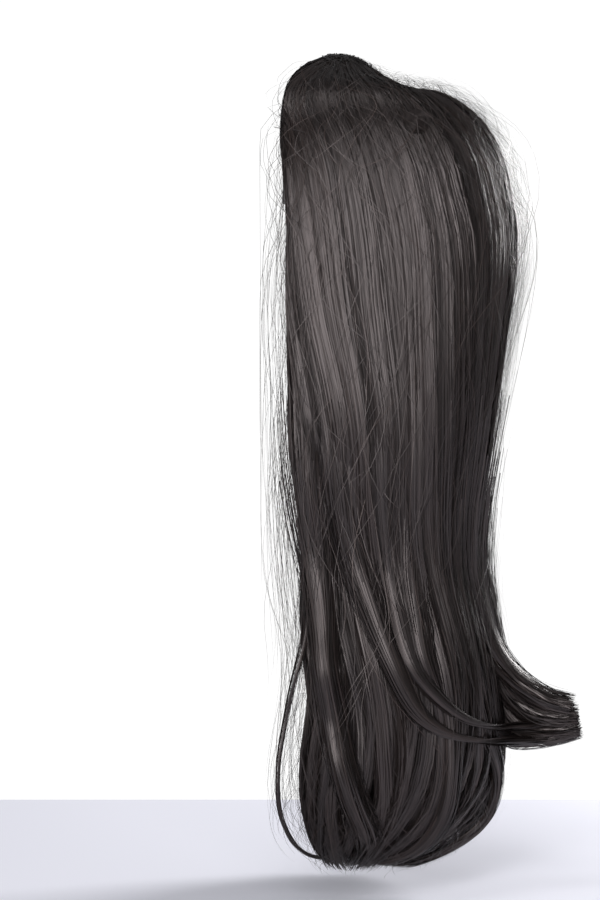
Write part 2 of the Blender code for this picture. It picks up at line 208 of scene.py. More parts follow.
# A row for each level from the crown's top to the tips. The drops run from 0 to 1 down the crown
# and on to 2 down the falls. Swell is the soft wave that curling leaves, in metres.
LEVELS = np.array((
    # front drop, rear drop, front, rear, width, square, wall, swell
    (0.000, 0.014, -0.08, 0.080, 0.06, 2.0, 0.4, 0.0000),
    (0.041, 0.101, 0.32, 0.200, 0.26, 2.0, 0.6, 0.0000),
    (0.128, 0.270, 0.66, 0.385, 0.45, 2.1, 0.8, 0.0000),
    (0.264, 0.298, 0.88, 0.570, 0.61, 2.3, 0.9, 0.0000),
    (0.446, 0.473, 0.97, 0.757, 0.73, 2.5, 1.0, 0.0000),
    (0.683, 0.717, 1.00, 0.876, 0.82, 2.7, 1.0, 0.0000),
    (0.974, 1.000, 0.96, 0.941, 0.88, 2.9, 1.0, 0.0000),
    (1.058, 1.068, 0.92, 0.984, 0.92, 3.0, 1.0, 0.0000),
    (1.127, 1.139, 0.95, 0.984, 0.94, 3.0, 1.0, 0.0002),
    (1.211, 1.220, 0.94, 0.935, 0.95, 3.0, 1.0, 0.0010),
    (1.299, 1.308, 0.85, 0.881, 0.95, 2.9, 1.0, 0.0026),
    (1.387, 1.394, 0.83, 0.833, 0.94, 2.8, 1.0, 0.0036),
    (1.475, 1.482, 0.84, 0.805, 0.93, 2.7, 1.0, 0.0004),
    (1.563, 1.570, 0.77, 0.808, 0.93, 2.6, 1.0, -0.0024),
    (1.644, 1.644, 0.67, 0.838, 0.95, 2.6, 1.0, 0.0006),
    (1.710, 1.703, 0.62, 0.860, 0.98, 2.5, 1.1, 0.0034),
    (1.776, 1.769, 0.66, 0.890, 1.00, 2.5, 1.2, 0.0008),
    (1.842, 1.835, 0.71, 0.892, 1.00, 2.4, 1.3, 0.0026),
    (1.900, 1.893, 0.70, 0.860, 0.96, 2.4, 1.3, 0.0025),
    (1.945, 1.935, 0.58, 0.790, 0.88, 2.3, 1.0, 0.0010),
    (1.979, 1.967, 0.36, 0.650, 0.75, 2.2, 0.6, 0.0000),
    (2.000, 1.993, 0.10, 0.480, 0.58, 2.1, 0.2, 0.0000),
))
LAST_LEVEL = len(LEVELS) - 1.0


def columns_at(table, where):
    """A table's columns at places between its rows, on a smooth curve through them."""
    low = np.minimum(where.astype(int), len(table) - 2)
    t = (where - low)[..., None]
    rows = [table[np.clip(low + step, 0, len(table) - 1)] for step in (-1, 0, 1, 2)]
    slope0 = (rows[2] - rows[0]) / 2.0
    slope1 = (rows[3] - rows[1]) / 2.0
    ahead = rows[2] - rows[1]
    curve = rows[1] + t * slope0 + t * t * (3.0 * ahead - 2.0 * slope0 - slope1)
    return np.moveaxis(curve + t ** 3 * (slope0 + slope1 - 2.0 * ahead), -1, 0)


def level_values(level):
    """The columns of the table of levels."""
    return columns_at(LEVELS, np.clip(level, 0.0, LAST_LEVEL))


def outline(level, turn):
    """Points of the hair's outer outline. Turn 0 is the rear, -1 the front by the left side."""
    front_drop, rear_drop, front, rear, width, square, _, _ = level_values(level)
    front = -front * FRONT_REACH
    rear = rear * REAR_REACH
    power = 2.0 / square
    flattened = np.minimum(1.0, level / (CROWN_LEVELS - 2.0))
    ahead = 1.0 + (abs(math.cos(math.pi * OPEN_FROM)) ** power - 1.0) * flattened
    half_depth = (rear - front) / (1.0 + ahead)
    cosine, sine = np.cos(np.pi * turn), np.sin(np.pi * turn)
    x = rear - half_depth + half_depth * np.sign(cosine) * np.abs(cosine) ** power
    x = np.maximum(x, front)
    y = width * HALF_WIDTH * np.sign(sine) * np.abs(sine) ** power
    drop = front_drop + (rear_drop - front_drop) * (x - front) / (rear - front)
    z = CROWN_TOP - np.minimum(drop, 1.0) * CROWN_HEIGHT - np.maximum(drop - 1.0, 0.0) * FALL_LENGTH
    return np.stack((x, y, z), axis=-1)


def unit(vectors):
    """The vectors at a length of one."""
    return vectors / np.maximum(np.linalg.norm(vectors, axis=-1, keepdims=True), 1e-9)


LEVEL_STEP = 0.02
TURN_STEP = 0.006


def hair_frame(level, turn):
    """The outline's points, with the ways across it and out of it."""
    level = np.clip(level, LEVEL_STEP, LAST_LEVEL - LEVEL_STEP)
    across = unit(outline(level, turn + TURN_STEP) - outline(level, turn - TURN_STEP))
    down = unit(outline(level + LEVEL_STEP, turn) - outline(level - LEVEL_STEP, turn))
    return outline(level, turn), across, unit(np.cross(down, across))


def smooth_step(value):
    """Goes from 0 to 1 with no corner at either end."""
    value = np.clip(value, 0.0, 1.0)
    return value * value * (3.0 - 2.0 * value)


# Shares of the table's swell that the rear and sides have, and how much more the front falls
# have, with the turn where they begin and how soon the waves are full there.
SIDE_SWELL = 0.7
FRONT_SWELL_MORE = 1.2
FRONT_FROM_TURN = 0.42
FRONT_OVER_TURN = 0.16


def wave(level, turn):
    """How far the soft waves lift the surface. They are deepest in the front falls."""
    in_front = smooth_step((np.abs(turn) - FRONT_FROM_TURN) / FRONT_OVER_TURN)
    return level_values(level)[7] * (SIDE_SWELL + FRONT_SWELL_MORE * in_front)


# The way round is measured in shares of the outline's length, 0 at the rear and 1 at the front
# edge of the falls. A table turns shares into turns at each level.
TABLE_LEVELS = 43
TABLE_SHARES = 151
MOST_SHARE = 1.5
RING_POINTS = 601
turn_table = np.zeros((TABLE_LEVELS, TABLE_SHARES))
way_round = np.zeros(TABLE_LEVELS)
for row, level in enumerate(np.linspace(0.0, LAST_LEVEL, TABLE_LEVELS)):
    way = np.linspace(0.0, 1.0, RING_POINTS)
    ring = outline(np.full(RING_POINTS, level), way)
    length = np.concatenate(([0.0], np.cumsum(np.linalg.norm(np.diff(ring, axis=0), axis=1))))
    way_round[row] = np.interp(OPEN_FROM, way, length)
    length = length / way_round[row]
    turn_table[row] = np.interp(np.linspace(0.0, MOST_SHARE, TABLE_SHARES), length, way)


def turn_at(share, level):
    """The turns of shares of the way round at their levels."""
    row = np.clip(level, 0.0, LAST_LEVEL) / LAST_LEVEL * (TABLE_LEVELS - 1)
    column = np.clip(np.abs(share), 0.0, MOST_SHARE) / MOST_SHARE * (TABLE_SHARES - 1)
    i = np.minimum(row.astype(int), TABLE_LEVELS - 2)
    j = np.minimum(column.astype(int), TABLE_SHARES - 2)
    s = row - i
    t = column - j
    low = turn_table[i, j] * (1.0 - t) + turn_table[i, j + 1] * t
    high = turn_table[i + 1, j] * (1.0 - t) + turn_table[i + 1, j + 1] * t
    return np.sign(share) * (low * (1.0 - s) + high * s)


FLOW = np.array((
    # level, and how far towards the rear the hair has leant there at the front, side and rear
    (0.0, 0.00, 0.00, 0.00),
    (4.0, 0.00, 0.00, 0.00),
    (7.0, 0.03, 0.03, 0.00),
    (8.5, 0.07, 0.06, 0.00),
    (11.0, 0.17, 0.10, 0.01),
    (13.0, 0.20, 0.12, 0.01),
    (16.0, 0.26, 0.16, 0.00),
    (17.5, 0.26, 0.15, -0.03),
    (19.0, 0.25, 0.06, -0.12),
    (21.0, 0.20, -0.06, -0.30),
))
# The share of the way round that counts as the side, and how far from it the front and rear are
# reached. Close to the rear's middle the lean dies out.
SIDE_SHARE = 0.60
SIDE_TO_FRONT = 0.35
SIDE_TO_REAR = 0.40
REAR_MIDDLE = 0.15
# On the crown the hair fans out to the front, and gathers below it at the opening's edge.
FAN_FROM_LEVEL = 2.5
FAN_OVER_LEVELS = 3.2
FAN_FROM_SHARE = 0.65
FAN_OUT = 0.33
FAN_PAST_EDGE = 0.45
EDGE_SOFTNESS = 0.015


def flow(share, level, beside):
    """The share at each level of hair that passes the crown's foot at the given share, and lies
    beside its lock's middle by so many metres."""
    side = np.sign(share)
    share = np.abs(share)
    front, middle, rear = [np.interp(level, FLOW[:, 0], FLOW[:, n]) for n in (1, 2, 3)]
    to_front = smooth_step((share - SIDE_SHARE) / SIDE_TO_FRONT)
    to_rear = smooth_step((SIDE_SHARE - share) / SIDE_TO_REAR)
    shift = middle + (front - middle) * to_front + (rear - middle) * to_rear
    shift = shift * smooth_step(share / REAR_MIDDLE)
    crown = 1.0 - smooth_step((level - FAN_FROM_LEVEL) / FAN_OVER_LEVELS)
    limit = 1.0 + FAN_PAST_EDGE * crown
    share = share - shift + np.maximum(share - FAN_FROM_SHARE, 0.0) * FAN_OUT * crown
    share = share + beside / np.interp(level, np.linspace(0.0, LAST_LEVEL, TABLE_LEVELS), way_round)
    share = limit - np.logaddexp(0.0, (limit - share) / EDGE_SOFTNESS) * EDGE_SOFTNESS
    return side * share


# Hair, its strands
# Each fibre is a narrow ribbon along its lock's guide. Ribbons are grouped in locks, as combed
# and curled hair is, and each is turned a little about its length so that locks shine in streaks.
# The strands' own map has a column for each class of tone, and a ribbon lies inside its column.
CLASSES = 96
COLUMN_SIDES = (0.06, 0.94)
COLUMN_ENDS = (0.004, 0.996)
random = np.random.default_rng(22)


def wander(count, steps, bends, size):
    """Smooth sideways wander for each strand: a few sines of random phase."""
    along = np.linspace(0.0, 1.0, steps)[None, :]
    total = np.zeros((count, steps))
    for bend in bends:
        phase = random.uniform(0.0, math.tau, (count, 1))
        rate = bend * random.uniform(0.75, 1.25, (count, 1))
        total += np.sin(math.tau * rate * along + phase) / bend
    return total * size


def ribbons(points, facing, widths, tones):
    """Vertices, faces and UVs of one ribbon along each row of points."""
    count, steps, _ = points.shape
    tangent = unit(np.gradient(points, axis=1))
    side = unit(np.cross(tangent, facing)) * (widths / 2.0)[..., None]
    vertices = np.stack((points - side, points + side), axis=2).reshape(-1, 3)
    first = (np.arange(count)[:, None] * steps + np.arange(steps - 1)[None, :]) * 2
    faces = np.stack((first, first + 1, first + 3, first + 2), axis=-1).reshape(-1, 4)
    slot = np.clip(tones * CLASSES, 0, CLASSES - 1).astype(int)[:, None]
    left = np.repeat((slot + COLUMN_SIDES[0]) / CLASSES, steps, axis=1)
    right = np.repeat((slot + COLUMN_SIDES[1]) / CLASSES, steps, axis=1)
    along = np.repeat(np.linspace(*COLUMN_ENDS, steps)[None, :], count, axis=0)
    uv_of_vertex = np.stack((left, along, right, along), axis=-1).reshape(-1, 2)
    return vertices, faces, uv_of_vertex


def strand_piece(name, batches, material):
    """One mesh object of all the ribbons in the batches."""
    vertices, faces, uvs, start = [], [], [], 0
    for batch in batches:
        some_vertices, some_faces, some_uvs = ribbons(*batch)
        vertices.append(some_vertices)
        faces.append(some_faces + start)
        uvs.append(some_uvs)
        start += len(some_vertices)
    vertices, faces, uvs = map(np.concatenate, (vertices, faces, uvs))
    mesh = bpy.data.meshes.new(name)
    mesh.vertices.add(len(vertices))
    mesh.vertices.foreach_set("co", vertices.astype(np.float32).ravel())
    mesh.loops.add(faces.size)
    mesh.loops.foreach_set("vertex_index", faces.astype(np.int32).ravel())
    mesh.polygons.add(len(faces))
    mesh.polygons.foreach_set("loop_start", np.arange(0, faces.size, 4, dtype=np.int32))
    mesh.update(calc_edges=True)
    mesh.shade_smooth()
    for layer in ("strand", "OFBake"):
        uv_map = mesh.uv_layers.new(name=layer)
        uv_map.data.foreach_set("uv", uvs[faces.ravel()].astype(np.float32).ravel())
    piece = bpy.data.objects.new(name, mesh)
    bpy.context.scene.collection.objects.link(piece)
    mesh.materials.append(material)
    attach(piece, "root")
    return piece


# How unevenly the locks wave, end and turn their faces.
LOCK_LAG = 0.25
LOCK_ENDS = (20.2, 21.2)
LOCK_TILT = 0.14


def fall_locks(start, stop, count, depth, roots, widths):
    """Random locks between two turns. Depth is their share of the hair's thickness."""
    share = (np.arange(count) + random.uniform(0.25, 0.75, count)) / count
    return {
        "turn": start + (stop - start) * share,
        "depth": random.uniform(*depth, count),
        "phase": random.uniform(0.0, math.tau, count),
        "lag": random.normal(0.0, LOCK_LAG, count),
        "first": random.uniform(*roots, count),
        "last": random.uniform(*LOCK_ENDS, count),
        "width": random.uniform(*widths, count),
        "tilt": random.normal(0.0, LOCK_TILT, count),
        "tone": random.uniform(0.0, 1.0, count),
    }


# Shares of a lock's length over which its roots and tips are uneven.
ROOTS_UNEVEN = 0.07
TIPS_UNEVEN = 0.12
# The hair loosens below this level, and is fully loose so many levels further down.
LOOSE_FROM = 9.0
LOOSE_OVER = 7.0
# Wisps in half a lock's width, how far strands are drawn into them, and how far more when loose.
WISPS = 3.5
DRAWN = 0.10
DRAWN_LOOSE = 0.55
# A lock's spread at its roots, the levels over which it opens, and how far its tips close.
ROOT_SPREAD = 0.25
SPREAD_OVER = 5.0
TIPS_CLOSE = 0.35
# Metres that strands and locks sway to the side, and how many times down the hair.
STRAND_SWAY = 0.0011
LOCK_SWAY = 0.0030
LOCK_CURL = 0.0035
CURL_FROM = 14.5
CURL_OVER = 3.0
SWAYS_DOWN = 2.1
# Metres that strands and locks lift off the surface, and how many times down the hair.
STRAND_LIFT = 0.0009
STRAND_DEPTH = 0.0010
STRAND_DEPTH_LOOSE = 0.0022
LOCK_DOME = 0.0032
LOCK_BOB = 0.0013
BOBS_DOWN = 2.3
# How far a strand's face turns to its lock's side, more when loose, and by chance.
FACE_TURN = 0.35
FACE_TURN_LOOSE = 0.55
FACE_CHANCE = 0.20
# Strand widths as shares of the usual one, at the tips too, and how short the taper is.
WIDTH_SHARES = (0.6, 1.35)
TIP_WIDTH = 0.25
TAPER = 9.0
# A strand's tone is partly its lock's and partly its own.
LOCK_TONE = 0.6
OWN_TONE = 0.4


def grow(locks, per_lock, width, steps, tones):
    """Strands for all the locks: their points, facings, widths and tones."""
    lock = np.repeat(np.arange(len(locks["turn"])), per_lock)
    count = len(lock)
    turn, depth, phase, lag, first, last, lock_width, tilt = [
        locks[name][lock][:, None]
        for name in ("turn", "depth", "phase", "lag", "first", "last", "width", "tilt")
    ]
    along = np.linspace(0.0, 1.0, steps)[None, :]
    begin = random.uniform(0.0, ROOTS_UNEVEN, (count, 1))
    end = 1.0 - TIPS_UNEVEN * random.uniform(0.0, 1.0, (count, 1)) ** 3
    level = first + (last - first) * (begin + (end - begin) * along)
    fall = level / LAST_LEVEL
    lower = smooth_step((level - LOOSE_FROM) / LOOSE_OVER)
    # A strand's place in its lock. Strands draw together in finer wisps towards the tips.
    radius = np.sqrt(random.uniform(0.0, 1.0, (count, 1)))
    angle = random.uniform(0.0, math.tau, (count, 1))
    beside = radius * np.cos(angle)
    above = radius * np.sin(angle)
    wisps = (np.floor(beside * WISPS) + 0.5) / WISPS
    beside = beside + (wisps - beside) * (DRAWN + DRAWN_LOOSE * lower)
    opened = np.minimum(1.0, ROOT_SPREAD + level / SPREAD_OVER)
    spread = opened * (1.0 - TIPS_CLOSE * lower)
    sideways = beside * lock_width * spread / 2.0
    sideways = sideways + wander(count, steps, (1.5, 3.5), STRAND_SWAY) * (0.5 + fall)
    curl = LOCK_SWAY * fall + LOCK_CURL * smooth_step((level - CURL_FROM) / CURL_OVER)
    sideways = sideways + curl * np.sin(math.tau * SWAYS_DOWN * fall + phase)
    own_turn = turn_at(flow(turn, level, sideways), level)
    excess = np.maximum(np.abs(turn) - 1.0, 0.0) * smooth_step((level - 5.0) / 3.0)
    thick = SIDE_THICK + (REAR_THICK - SIDE_THICK) * (
        0.5 + 0.5 * np.cos(np.pi * np.minimum(1.0, np.abs(own_turn) / OPEN_FROM)))
    thick = thick * level_values(level)[6]
    swell = wave(level + lag, own_turn) * smooth_step(1.0 - depth * 1.5)
    bob = LOCK_BOB * lower * np.sin(math.tau * BOBS_DOWN * fall + 2.0 * phase)
    dome = np.sqrt(np.maximum(0.0, 1.0 - beside * beside)) - 0.6
    upwards = above * (STRAND_DEPTH + STRAND_DEPTH_LOOSE * lower) + dome * LOCK_DOME * lower
    upwards = upwards + wander(count, steps, (1.5, 3.5, 5.5), STRAND_LIFT)
    stand = swell + bob + upwards - thick * np.minimum(depth + 2.0 * excess, 1.0)
    centre, across, out = hair_frame(level, own_turn)
    points = centre + out * stand[..., None]
    lean = tilt + beside * (FACE_TURN + FACE_TURN_LOOSE * lower)
    lean = lean + random.normal(0.0, FACE_CHANCE, (count, 1))
    facing = unit(across * lean[..., None] + out)
    widths = width * random.uniform(*WIDTH_SHARES, (count, 1)) * np.ones((1, steps))
    widths = widths * np.minimum(1.0, TIP_WIDTH + TAPER * (1.0 - along))
    mix = LOCK_TONE * locks["tone"][lock] + OWN_TONE * random.uniform(0.0, 1.0, count)
    return points, facing, widths, tones[0] + (tones[1] - tones[0]) * mix


# A streak is a ribbon wide and about 115 mm long, which is coarser than a real fibre's shine.
STREAK_LENGTH = 0.11525


def hair_material(name):
    """Modacrylic fibre, spun through fine holes and dyed near-black brown. Its smooth round sides
    give a shine that is narrow along each fibre and wide across it. A real fibre is 0.07 mm
    thick, too fine to show, so each ribbon is several of them and its streaks are coarser."""
    material = new_material(name)
    strand = add_node(material, "ShaderNodeUVMap", uv_map="strand")
    split = add_node(material, "ShaderNodeSeparateXYZ", links=(("Vector", strand.outputs["UV"]),))
    slot_tone = add_node(material, "ShaderNodeValToRGB", links=(("Fac", split.outputs["X"]),))
    ramp = slot_tone.color_ramp
    ramp.elements[0].color = srgb("0f0c0b")
    # The lightest brown, past 0.9, is reached only by the rear fall: painted glow of light through
    # its rim.
    ramp.elements[1].color = srgb("5c433a")
    for stop, code in ((0.35, "171312"), (0.70, "241d1b"), (0.90, "352a26")):
        ramp.elements.new(stop).color = srgb(code)
    stretch = add_node(material, "ShaderNodeMapping", links=(
        ("Vector", strand.outputs["UV"]),), Scale=(float(CLASSES), FALL_LENGTH / STREAK_LENGTH, 1.0))
    streak = add_node(material, "ShaderNodeTexNoise", links=(
        ("Vector", stretch.outputs["Vector"]),), Scale=1.0, Detail=1.0)
    shade = add_node(material, "ShaderNodeMapRange", links=(
        ("Value", streak.outputs["Fac"]),),
        **{"From Min": 0.3, "From Max": 0.7, "To Min": 0.5, "To Max": 1.5})
    fibre_colour = add_node(material, "ShaderNodeVectorMath", operation="SCALE", links=(
        ("Vector", slot_tone.outputs["Color"]), ("Scale", shade.outputs["Result"])))
    tangent = add_node(material, "ShaderNodeTangent", direction_type="UV_MAP", uv_map="strand")
    shader = add_node(material, "ShaderNodeBsdfPrincipled", links=(
        ("Base Color", fibre_colour.outputs["Vector"]), ("Tangent", tangent.outputs["Tangent"])),
        **{"Specular Tint": (1.0, 0.89, 0.89, 1.0)},
        Roughness=0.38, IOR=1.55, Anisotropic=0.75)
    surface(material, shader)
    return material


hair_fibre = hair_material("synthetic hair fibre")

# Crown puff
# The teased top over the clip: hair goes up from both jaws, over the finger tabs, and down
# over the front, where its ends are tucked in above the hollow that the falls hang round.
HOLLOW_HALF_LENGTH = 0.099
HOLLOW_HALF_WIDTH = 0.078
HOLLOW_HALF_HEIGHT = 0.097
HOLLOW_AHEAD = 0.081
HOLLOW_BELOW = 0.057
TUCK_CLEARANCE = 0.001
CROWN_STEPS = 16
CROWN_RIBBON = 0.0007


def above_hollow(points, clearance):
    """Lifts points that would lie in the hollow to just above it."""
    along = (points[..., 0] + HOLLOW_AHEAD) / HOLLOW_HALF_LENGTH
    beside = points[..., 1] / HOLLOW_HALF_WIDTH
    dome = np.sqrt(np.maximum(0.0, 1.0 - along ** 2 - beside ** 2))
    ceiling = np.where(dome > 0.0, dome * HOLLOW_HALF_HEIGHT - HOLLOW_BELOW + clearance, -1.0)
    points[..., 2] = np.maximum(points[..., 2], ceiling)
    return points


def tucked(batch):
    """Front hair whose ends turn in above the hollow."""
    points, facing, widths, tones = batch
    return above_hollow(points, TUCK_CLEARANCE), facing, widths, tones


def swirl(count):
    """Short hair wound round the crown's top, where the sewn roots meet."""
    along = np.linspace(0.0, 1.0, CROWN_STEPS)[None, :]
    begin = random.uniform(-1.0, 1.0, (count, 1))
    turn = begin + random.uniform(0.25, 0.8, (count, 1)) * along
    level = random.uniform(0.05, 0.35, (count, 1)) + random.uniform(0.2, 1.2, (count, 1)) * along
    turn = (turn + 1.0) % 2.0 - 1.0
    centre, across, out = hair_frame(level, turn)
    hump = np.sin(np.pi * along) * random.uniform(0.0005, 0.0030, (count, 1))
    points = centre + out * (hump - 0.0005)[..., None]
    points = points + across * wander(count, CROWN_STEPS, (1.0, 2.0), 0.0015)[..., None]
    widths = np.full((count, CROWN_STEPS), CROWN_RIBBON)
    return points, out, widths, random.uniform(0.0, 0.6, count)


def bridge(count):
    """Short hair laid over the very top, from one side of it to the other."""
    along = np.linspace(-1.0, 1.0, CROWN_STEPS)[None, :]
    turn = random.uniform(0.0, 1.0, (count, 1)) - (along < 0.0)
    level = 0.02 + np.abs(along) * random.uniform(0.3, 1.1, (count, 1))
    centre, _, _ = hair_frame(level, turn)
    points = centre + np.array((0.0, 0.0, 0.001)) * random.uniform(0.0, 1.5, (count, 1, 1))
    above = unit(np.array((-0.2, 0.0, 1.0)) + 0.0 * points)
    widths = np.full((count, CROWN_STEPS), CROWN_RIBBON)
    return points, above, widths, random.uniform(0.0, 0.6, count)


WHORL_LEVEL = 4.5
WHORL_TURN = -0.40
WHORL_RADIUS = 0.0095
WHORL_COIL = 0.8
WHORL_HEIGHT = 0.004
WHORL_DIP = 0.005
WHORL_RIBBON = 0.0004


def whorl(count):
    """The little coil of loose hair on the left of the crown, where its top dips to the falls."""
    along = np.linspace(0.0, 1.0, CROWN_STEPS)[None, :]
    middle, across, out = hair_frame(np.array(WHORL_LEVEL), np.array(WHORL_TURN))
    down = np.cross(across, out)
    angle = random.uniform(0.0, math.tau, (count, 1)) + math.tau * WHORL_COIL * along
    radius = WHORL_RADIUS * random.uniform(0.12, 1.0, (count, 1)) * (0.7 + 0.3 * along)
    height = WHORL_HEIGHT - WHORL_DIP * (radius / WHORL_RADIUS) ** 2 + 0.001 * along
    points = middle + across * (radius * np.cos(angle))[..., None]
    points = points + down * (radius * np.sin(angle))[..., None] + out * height[..., None]
    facing = out + 0.0 * points
    widths = np.full((count, CROWN_STEPS), WHORL_RIBBON)
    return points, facing, widths, random.uniform(0.1, 0.65, count)


FRONT_LOCKS = 9
FRONT_LOCK_STRANDS = 60
FRONT_SHARES = (0.95, 1.27)
FRONT_ENDS = (5.3, 6.2)
FRONT_RIBBON = 0.0009
front_batches = []
for side in (-1, 1):
    start, stop = [share * side for share in FRONT_SHARES]
    for depth, roots in (((0.02, 0.25), (0.1, 0.8)), ((0.3, 0.5), (0.4, 1.6))):
        locks = fall_locks(start, stop, FRONT_LOCKS, depth, roots, (0.012, 0.022))
        locks["last"][:] = random.uniform(*FRONT_ENDS, FRONT_LOCKS)
        batch = grow(locks, FRONT_LOCK_STRANDS, FRONT_RIBBON, CROWN_STEPS, (0.0, 0.6))
        front_batches.append(tucked(batch))
top_batches = [bridge(120), swirl(260), whorl(110)]
crown_hair = strand_piece("crown_puff_hair", front_batches + top_batches, hair_fibre)
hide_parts("crown_puff")

# The falls
# Long strands from the crown over the clip to the tips, in layers: the outer one is what shows,
# the ones under it close its gaps, and the inner one lines the hollow.
FEWEST_LOCKS = 3
# Hair from past the front edge's share lies under that edge. The rear's tones are lighter: a
# painted glow of the light that comes through its rim.
FRONT_SHARE = 1.25
REAR_PAINTED_GLOW = 0.42
# The layers under the outer one take darker tones: painted shade of the hair over them and in the
# hollow.
LAYERS = (
    # depth as shares of the thickness, root levels, locks for a whole share, strands
    # in each, lock widths, strand width, steps down each strand, tones
    ((0.02, 0.16), (0.1, 1.6), 24, 95, (0.009, 0.022), 0.00075, 29, (0.05, 0.80)),
    ((0.16, 0.34), (0.3, 3.0), 20, 75, (0.012, 0.024), 0.00095, 27, (0.0, 0.55)),
    ((0.36, 0.62), (2.0, 4.5), 12, 60, (0.018, 0.030), 0.0014, 20, (0.0, 0.40)),
    ((0.80, 0.98), (3.5, 5.5), 14, 55, (0.018, 0.028), 0.0014, 20, (0.0, 0.50)),
)
FALLS = (
    ("left_front_fall", -FRONT_SHARE, -0.654),
    ("left_fall", -0.654, -0.334),
    ("rear_fall", -0.334, 0.334),
    ("right_fall", 0.334, 0.654),
    ("right_front_fall", 0.654, FRONT_SHARE),
)
for node, start, stop in FALLS:
    batches = []
    for depth, roots, density, per_lock, lock_widths, width, steps, tones in LAYERS:
        if node == "rear_fall":
            tones = (tones[0] + REAR_PAINTED_GLOW, min(1.0, tones[1] + REAR_PAINTED_GLOW))
        count = max(FEWEST_LOCKS, round(density * (stop - start)))
        locks = fall_locks(start, stop, count, depth, roots, lock_widths)
        batches.append(grow(locks, per_lock, width, steps, tones))
    piece = strand_piece(node + "_hair", batches, hair_fibre)
    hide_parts(node)

